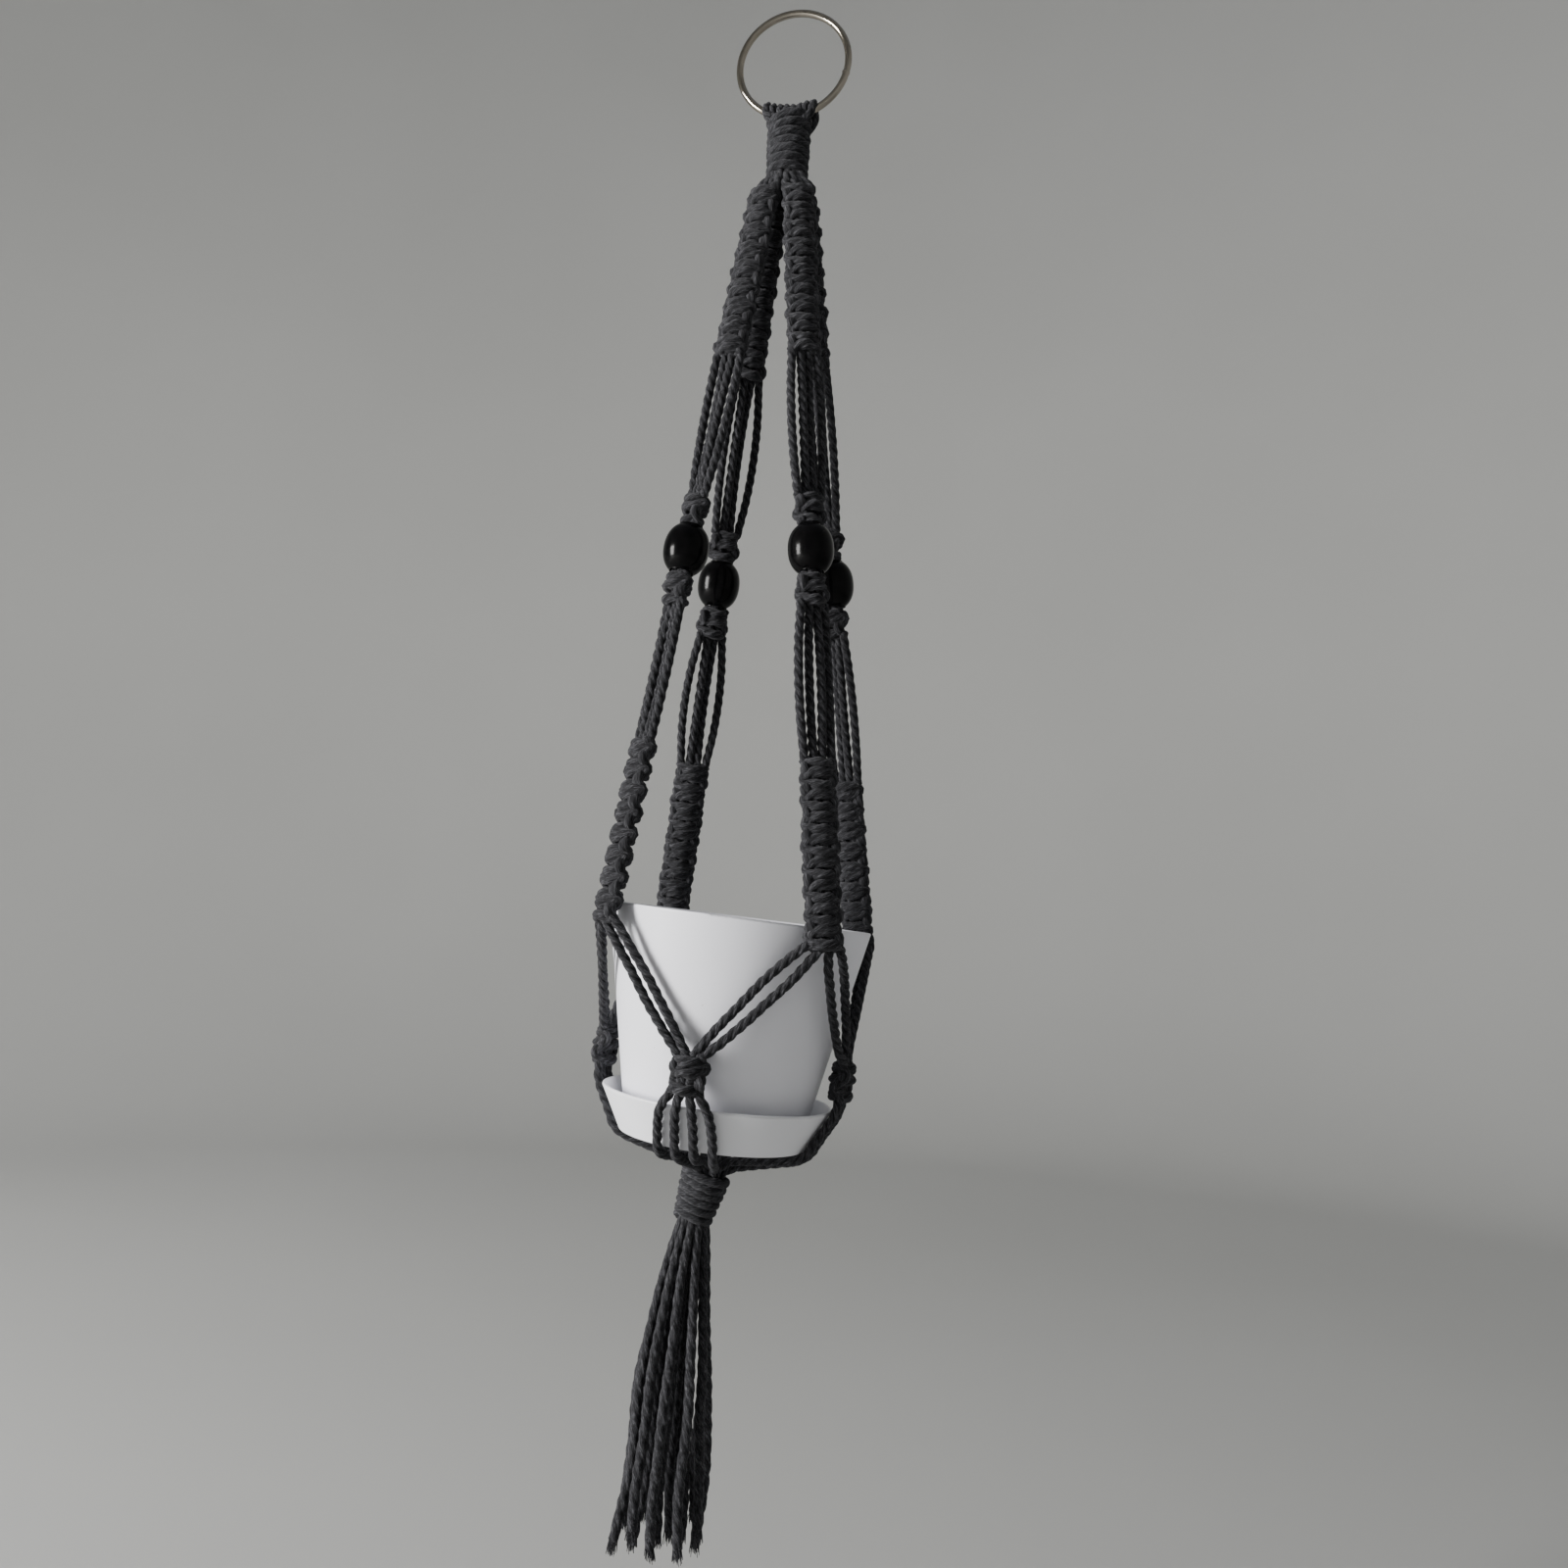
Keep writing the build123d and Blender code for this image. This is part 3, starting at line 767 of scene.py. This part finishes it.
def build_ring():
    """The wire ring, with the small bead of its butt weld."""
    centre_z, radius, wire = ring_circle()
    around = np.linspace(0, tau, 240, endpoint=False)
    weld = radians(WELD_AZIMUTH)
    tube = np.linspace(0, tau, 28, endpoint=False)
    rows = []
    for angle in around:
        gap = (angle - weld + pi) % tau - pi
        swell = 1 + 0.10 * np.exp(-(gap / 0.022) ** 2) - 0.06 * np.exp(-((abs(gap) - 0.05) / 0.015) ** 2)
        thick = wire * swell
        nub = 0.16 * np.exp(-(gap / 0.02) ** 2)
        ring_r = radius + thick * np.cos(tube) - nub * np.maximum(0, -np.cos(tube)) * wire
        height = centre_z + ring_r * sin(angle)
        rows.append(np.stack([ring_r * cos(angle), thick * np.sin(tube), height], axis=1))
    faces = grid_faces(len(around), len(tube))
    mesh = smooth_mesh("ring_wire", np.vstack(rows) * MM, faces, RING_MATERIAL)
    placed("ring_wire", mesh, "ring", "ring_metal", "ring")


def build_ring_loops():
    """Eight cords folded over the ring's wire, running down into the wrap."""
    centre_z, radius, wire = ring_circle()
    yarn = Yarn(10)
    bend = wire + LOOP_CORD_D / 2 + 0.35
    for index in range(LOOP_COUNT):
        x = LOOP_PITCH * (index - (LOOP_COUNT - 1) / 2)
        rise = -0.5 - 0.7 * (abs(x) / 9.8) ** 4 + yarn.random.uniform(-0.2, 0.25)
        crown = centre_z - sqrt(radius**2 - x**2) + rise
        lean = yarn.random.uniform(-0.35, 0.35)
        points = []
        for side in (-1, 1):
            leg = [(0.42 * x, side * 3.4, -58), (0.50 * x, side * 4.0, -53.5), (0.78 * x, side * 4.6, -49.0),
                   (0.95 * x + lean, side * (bend + 0.2), crown - 2.4),
                   (x + lean, side * bend * 0.93, crown + 0.8)]
            points += leg if side < 0 else leg[::-1]
            if side < 0:
                points.append((x, 0, crown + bend * 0.78 + 1.0))
        yarn.add(through(points), LOOP_CORD_D, relief=0.75)
    yarn.piece("ring_loop_cords", "hanger", "ring_loops")


def build_top_wrap():
    """A cord wound round the bundle under the ring, slanting a little at its top."""
    yarn = Yarn(11)
    turns = np.linspace(0, TOP_WRAP_TURNS, 400)
    share = turns / TOP_WRAP_TURNS
    angle = tau * turns + radians(200)
    radius = TOP_WRAP_R[0] + (TOP_WRAP_R[1] - TOP_WRAP_R[0]) * share + wobble(turns * 4, 0.16, yarn.random)
    x = radius * np.cos(angle)
    slant = (0.26 * (1 - share) + 0.05) * x
    z = TOP_WRAP_Z[0] + (TOP_WRAP_Z[1] - TOP_WRAP_Z[0]) * share + slant + wobble(turns * 3, 0.2, yarn.random)
    line = np.stack([x, radius * np.sin(angle), z], axis=1)
    tuck_in = [line[0] * (0.55, 0.55, 1) + (0, 0, 1.2), line[0] * (0.8, 0.8, 1) + (0, 0, 0.5)]
    tuck_out = [line[-1] * (0.8, 0.8, 1), line[-1] * (0.5, 0.5, 1) + (0, 0, 1.5)]
    yarn.add(np.vstack([tuck_in, line, tuck_out]), TOP_WRAP_CORD_D, relief=0.45)
    core = [(0, 0, -50), (0, 0, -60), (0, 0, -72)]
    for azimuth in range(0, 360, 45):
        yarn.add(np.array(core) + polar(3.4, azimuth), CORE_CORD_D)
    yarn.piece("top_wrap_coil", "hanger", "top_wrap")


def wrap_place():
    """The bottom wrap's frame, with its end at the tassel's pivot and z up its leaning axis."""
    lean = radians(BOTTOM_WRAP_LEAN)
    along = np.array([sin(lean), 0, cos(lean)])
    return Place(PIVOT + along * BOTTOM_WRAP_LENGTH, np.array([1.0, 0, 0]), along)


def build_bottom_wrap():
    """A cord wound down the leaning bundle under the saucer."""
    yarn = Yarn(12)
    place = wrap_place()
    turns = np.linspace(0, BOTTOM_WRAP_TURNS, 380)
    share = turns / BOTTOM_WRAP_TURNS
    angle = tau * turns + radians(120)
    radius = BOTTOM_WRAP_R[0] + (BOTTOM_WRAP_R[1] - BOTTOM_WRAP_R[0]) * share
    radius = radius + wobble(turns * 4, 0.22, yarn.random)
    z = -1.2 - (BOTTOM_WRAP_LENGTH - 2.6) * share + wobble(turns * 3, 0.22, yarn.random)
    line = np.stack([radius * np.cos(angle), radius * np.sin(angle), z], axis=1)
    tuck_in = [line[0] * (0.5, 0.5, 1) + (0, 0, 1.0), line[0] * (0.8, 0.8, 1) + (0, 0, 0.4)]
    tuck_out = [line[-1] * (0.75, 0.75, 1) + (0, 0, 0.4), line[-1] * (0.4, 0.4, 1) + (0, 0, 1.6)]
    yarn.add(place.out(np.vstack([tuck_in, line, tuck_out])), BOTTOM_WRAP_CORD_D, relief=0.5)
    for azimuth in range(0, 360, 60):
        core = np.array([(0, 0, 3.0), (0, 0, -8), (0, 0, -17)]) + polar(3.3, azimuth)
        yarn.add(place.out(core), CORE_CORD_D)
    yarn.piece("bottom_wrap_coil", "hanger", "bottom_wrap")


# ---------------------------------------------------------------- basket

def off_the_pot(points, clearance):
    """Points of the whole object, moved out where they are nearer to the pot's wall than the clearance."""
    local = BASKET.into(points)
    wall = POT_RIM_R + local[:, 2] * (POT_RIM_R - POT_BASE_R) / POT_HEIGHT
    out = np.hypot(local[:, 0], local[:, 1])
    push = np.where(local[:, 2] < 2, np.maximum(1, (wall + clearance) / out), 1)
    local[:, :2] *= push[:, None]
    return BASKET.out(local)


# How far each arm's two pairs open halfway down, to its lower and to its higher azimuth
PAIR_OPENING = {
    "front_left": (0.9, 1.0),
    "front_right": (1.5, 2.7),
    "back_right": (1.0, 1.2),
    "back_left": (1.0, 1.0),
}


def build_basket_cords(name, azimuth, seed):
    """An arm's four cords, two to the basket knot on each side."""
    yarn = Yarn(seed)
    place = arm_place(name)
    end = arm_end(place, azimuth)
    for index, x in enumerate(ordered_row(CHAIN_SIZE, CHAIN_CORD_D)):
        side = -1 if index < 2 else 1
        knot = side_place(azimuth + 45 * side)
        knot_x = LEG_X[(index + 2) % 4]
        upper = index in (0, 3)
        leave = end - (2.6 if upper else 0.4)
        turn = LOWER_TURN[name]
        start = place.out(turned([(x, 0, leave - 2.4), (1.08 * x, 0.2, leave)], turn))
        finish = knot.out([(knot_x, 0.4, 0.2), (0.85 * knot_x, 0, 2.6)])
        share = np.linspace(0, 1, 9)[1:-1, None]
        middle = start[1] + (finish[0] - start[1]) * share
        outward = unit(middle[3] - BASKET.origin - BASKET.z * ((middle[3] - BASKET.origin) @ BASKET.z))
        rise = unit(np.cross(finish[0] - start[1], outward))
        rise *= np.sign(rise @ BASKET.z) * (1 if upper else -1)
        middle = middle + rise * PAIR_OPENING[name][(side + 1) // 2] * np.sin(pi * share) ** 0.6
        middle = off_the_pot(middle, CORD_D / 2 + 0.2)
        middle = middle + wobble(share * 5, 0.22, yarn.random) * rise
        yarn.add(through(np.vstack([start, middle, finish])))
    yarn.piece(f"{name}_net_cords", "hanger", f"{name}_basket_cords")


# How far each side's legs fan out, as a share of the front's
LEG_FAN = {"right": 0.62, "back": 0.8, "left": 0.62, "front": 1.0}


def build_side(name, azimuth, seed):
    """A basket knot and its four legs, down the saucer and under it into the bottom wrap."""
    knot = side_place(azimuth)
    pitch = SIDE_KNOT_LENGTH / SIDE_KNOT_HALF_KNOTS
    yarn = Yarn(seed)
    strands = square_knots(SIDE_KNOT_HALF_KNOTS, 1.1 * pitch, SIDE_KNOT_SIZE, KNOT_CORD_D, yarn.random, -0.6,
                           rough=0.6, twist=0.35, bulge=0.22)
    for strand in strands:
        yarn.add(knot.out(strand), KNOT_CORD_D)
    yarn.piece(f"{name}_net_knot", "hanger", f"{name}_basket_knot")

    yarn = Yarn(seed + 1)
    fan = LEG_FAN[name]
    bottom = wrap_place()
    for index, x in enumerate(LEG_X):
        step = (index - 1.5) * fan
        level = (-92.6, -95.6)[index % 2]
        points = [knot.out((0.85 * x, 0, SIDE_KNOT_LENGTH - 3)), knot.out((x, 0.4, SIDE_KNOT_LENGTH + 0.5)),
                  BASKET.out(polar(47.4, azimuth + 7.6 * step, -70.0)),
                  BASKET.out(polar(41.7, azimuth + 9.6 * step, -79.8)),
                  BASKET.out(polar(37.9, azimuth + 10.6 * step, -87.8)),
                  BASKET.out(polar(7.5, azimuth + 22.5 * step / fan, level)),
                  bottom.out(polar(3.8, azimuth + 22.5 * step / fan, -6))]
        yarn.add(rounded(points, 7.0))
    yarn.piece(f"{name}_net_legs", "hanger", f"{name}_basket_legs")


# ---------------------------------------------------------------- tassel

def tassel_route(index):
    """One strand's route in metres: the five points that its CAD tube has, under one inside the wrap."""
    inner = index < TASSEL_INNER
    ring_index = 0 if inner else 1
    count = (TASSEL_INNER, TASSEL_OUTER)[ring_index]
    azimuth = 360 * index / count + 16 * ring_index
    tip_z = TASSEL_TIP_Z - TASSEL_TIP_STEP * sin(2.4 * index)
    heights = [PIVOT[2] - TASSEL_START_DROP[ring_index], *TASSEL_LEVELS, tip_z]
    group = 1 if cos(radians(azimuth)) > TASSEL_PART_COS else -1
    points = [polar(TASSEL_RING_R[ring_index] * 0.62, azimuth, PIVOT[2] + 5) + (PIVOT[0] + 1.6, 0, 0)]
    for level, height in enumerate(heights):
        sway = TASSEL_SWAY[level] * sin(1.9 * index + 2.1 * level)
        swing = TASSEL_SWAY[level] * 3 * cos(2.6 * index + 1.7 * level)
        offset = polar(TASSEL_RING_R[ring_index] * TASSEL_SPREAD[level] + sway, azimuth + swing, height)
        points.append(offset + (PIVOT[0] + TASSEL_DRIFT[level] + TASSEL_PART[level] * group, 0, 0))
    return np.array(points) * MM


def build_tassel_strand(index):
    """One strand of the tassel, frayed at its tip."""
    node = f"tassel_cord_{index + 1:02d}"
    route = nurbs_line(tassel_route(index))
    yarn = Yarn(400 + index)
    line = even(route / MM)
    across, up = carried_frames(line)
    last = len(line) - 1
    grow = np.linspace(0, 1, last + 1)[:, None]
    line = line + across * wobble(grow * 6, 0.8, yarn.random) * grow
    line = line + up * wobble(grow * 6, 0.8, yarn.random) * grow
    opened = last - int(TASSEL_FRAY / CORD_STEP)
    yarn.add(line[:opened + 2], TASSEL_STRAND_D, TASSEL_SWELL, 0.7, TASSEL_LAY)
    for wisp in range(TASSEL_WISPS):
        angle = 2.4 * wisp + yarn.random.uniform(-0.3, 0.3)
        root = TASSEL_STRAND_D / 2 * 0.9 * sqrt((wisp + 0.5) / TASSEL_WISPS)
        flare = yarn.random.uniform(0.95, 1.5)
        past = yarn.random.uniform(-3.4, -0.2)
        points = []
        for share in (0, 0.25, 0.5, 0.75, 1.0):
            at = opened - 5 + (last - opened + 5) * share
            near = int(at)
            heading = angle - 0.9 * share
            out = across[near] * cos(heading) + up[near] * sin(heading)
            curl = yarn.random.uniform(-0.12, 0.12) * share
            points.append(line[near] + out * root * (0.9 + (flare - 0.9) * share**2 + curl))
        points[-1] = points[-1] + unit(points[-1] - points[-2]) * past
        yarn.wisp(through(points, 4), yarn.random.uniform(0.45, 0.8))
    strand = yarn.piece(f"tassel_strand_{index + 1:02d}", None, node)
    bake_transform(strand)


# ---------------------------------------------------------------- the whole

def build_object():
    """Every piece of the planter."""
    build_ring()
    build_ring_loops()
    build_top_wrap()
    for number, (name, azimuth) in enumerate(ARMS.items()):
        build_arm(name, azimuth, 100 + 10 * number)
        build_basket_cords(name, azimuth, 200 + number)
    for number, (name, azimuth) in enumerate(SIDES.items()):
        build_side(name, azimuth, 300 + 10 * number)
    build_bottom_wrap()
    for index in range(TASSEL_INNER + TASSEL_OUTER):
        build_tassel_strand(index)
    for node, material in (("pot", POT_MATERIAL), ("saucer", SAUCER_MATERIAL)):
        mesh = frame["nodes"][node].data
        mesh.materials.clear()
        mesh.materials.append(material)


def build_stage():
    """A pale floor that curves up into a backdrop all round."""
    radius = 2.6
    bend = 1.0
    floor_z = cad_box[0][2] - 0.12
    outline = [(r, floor_z) for r in np.linspace(0.001, radius - bend, 6)]
    outline += [(radius - bend + bend * sin(angle), floor_z + bend * (1 - cos(angle)))
                for angle in np.linspace(0, pi / 2, 16)[1:]]
    outline += [(radius, floor_z + height) for height in (1.6, 2.6, 3.8)]
    sides = 96
    points = turned_rings(np.array(outline), sides).reshape(-1, 3)
    mesh = smooth_mesh("stage", points, grid_faces(len(outline), sides, closed=False), stage_material())
    stage = bpy.data.objects.new("stage", mesh)
    bpy.context.scene.collection.objects.link(stage)


def area_light(name, position, aim, size, power, colour):
    """A soft rectangular light that isn't seen itself."""
    data = bpy.data.lights.new(name, "AREA")
    data.shape = "RECTANGLE"
    data.size, data.size_y = size
    data.energy = power
    data.color = colour
    light = bpy.data.objects.new(name, data)
    bpy.context.scene.collection.objects.link(light)
    light.location = position
    light.rotation_euler = (Vector(aim) - Vector(position)).to_track_quat("-Z", "Y").to_euler()
    light.visible_camera = False


def build_light():
    """A window-like key from the front left, and a soft even fill."""
    area_light("key", KEY_AT, KEY_AIM, KEY_SIZE, KEY_POWER, KEY_COLOUR)
    world = bpy.data.worlds.new("soft_fill")
    world.use_nodes = True
    world.node_tree.nodes["Background"].inputs["Color"].default_value = FILL_COLOUR
    world.node_tree.nodes["Background"].inputs["Strength"].default_value = FILL_STRENGTH
    bpy.context.scene.world = world


def build_camera():
    """A camera a little to the right of the front, level with the pot's rim and turned a few degrees."""
    yaw, pitch, roll = (radians(angle) for angle in CAMERA_TURN)
    forward = Vector((sin(yaw) * cos(pitch), cos(yaw) * cos(pitch), sin(pitch)))
    level = Vector((cos(yaw), -sin(yaw), 0))
    upright = level.cross(forward)
    right = cos(roll) * level + sin(roll) * upright
    up = cos(roll) * upright - sin(roll) * level
    data = bpy.data.cameras.new("camera")
    data.sensor_width = CAMERA_SENSOR
    data.lens = CAMERA_LENS
    data.clip_start = 0.01
    camera = bpy.data.objects.new("camera", data)
    bpy.context.scene.collection.objects.link(camera)
    turn = Matrix((right, up, -forward)).transposed().to_4x4()
    camera.matrix_world = Matrix.Translation(CAMERA_AT) @ turn
    bpy.context.scene.camera = camera


build_camera()
build_object()
build_stage()
build_light()
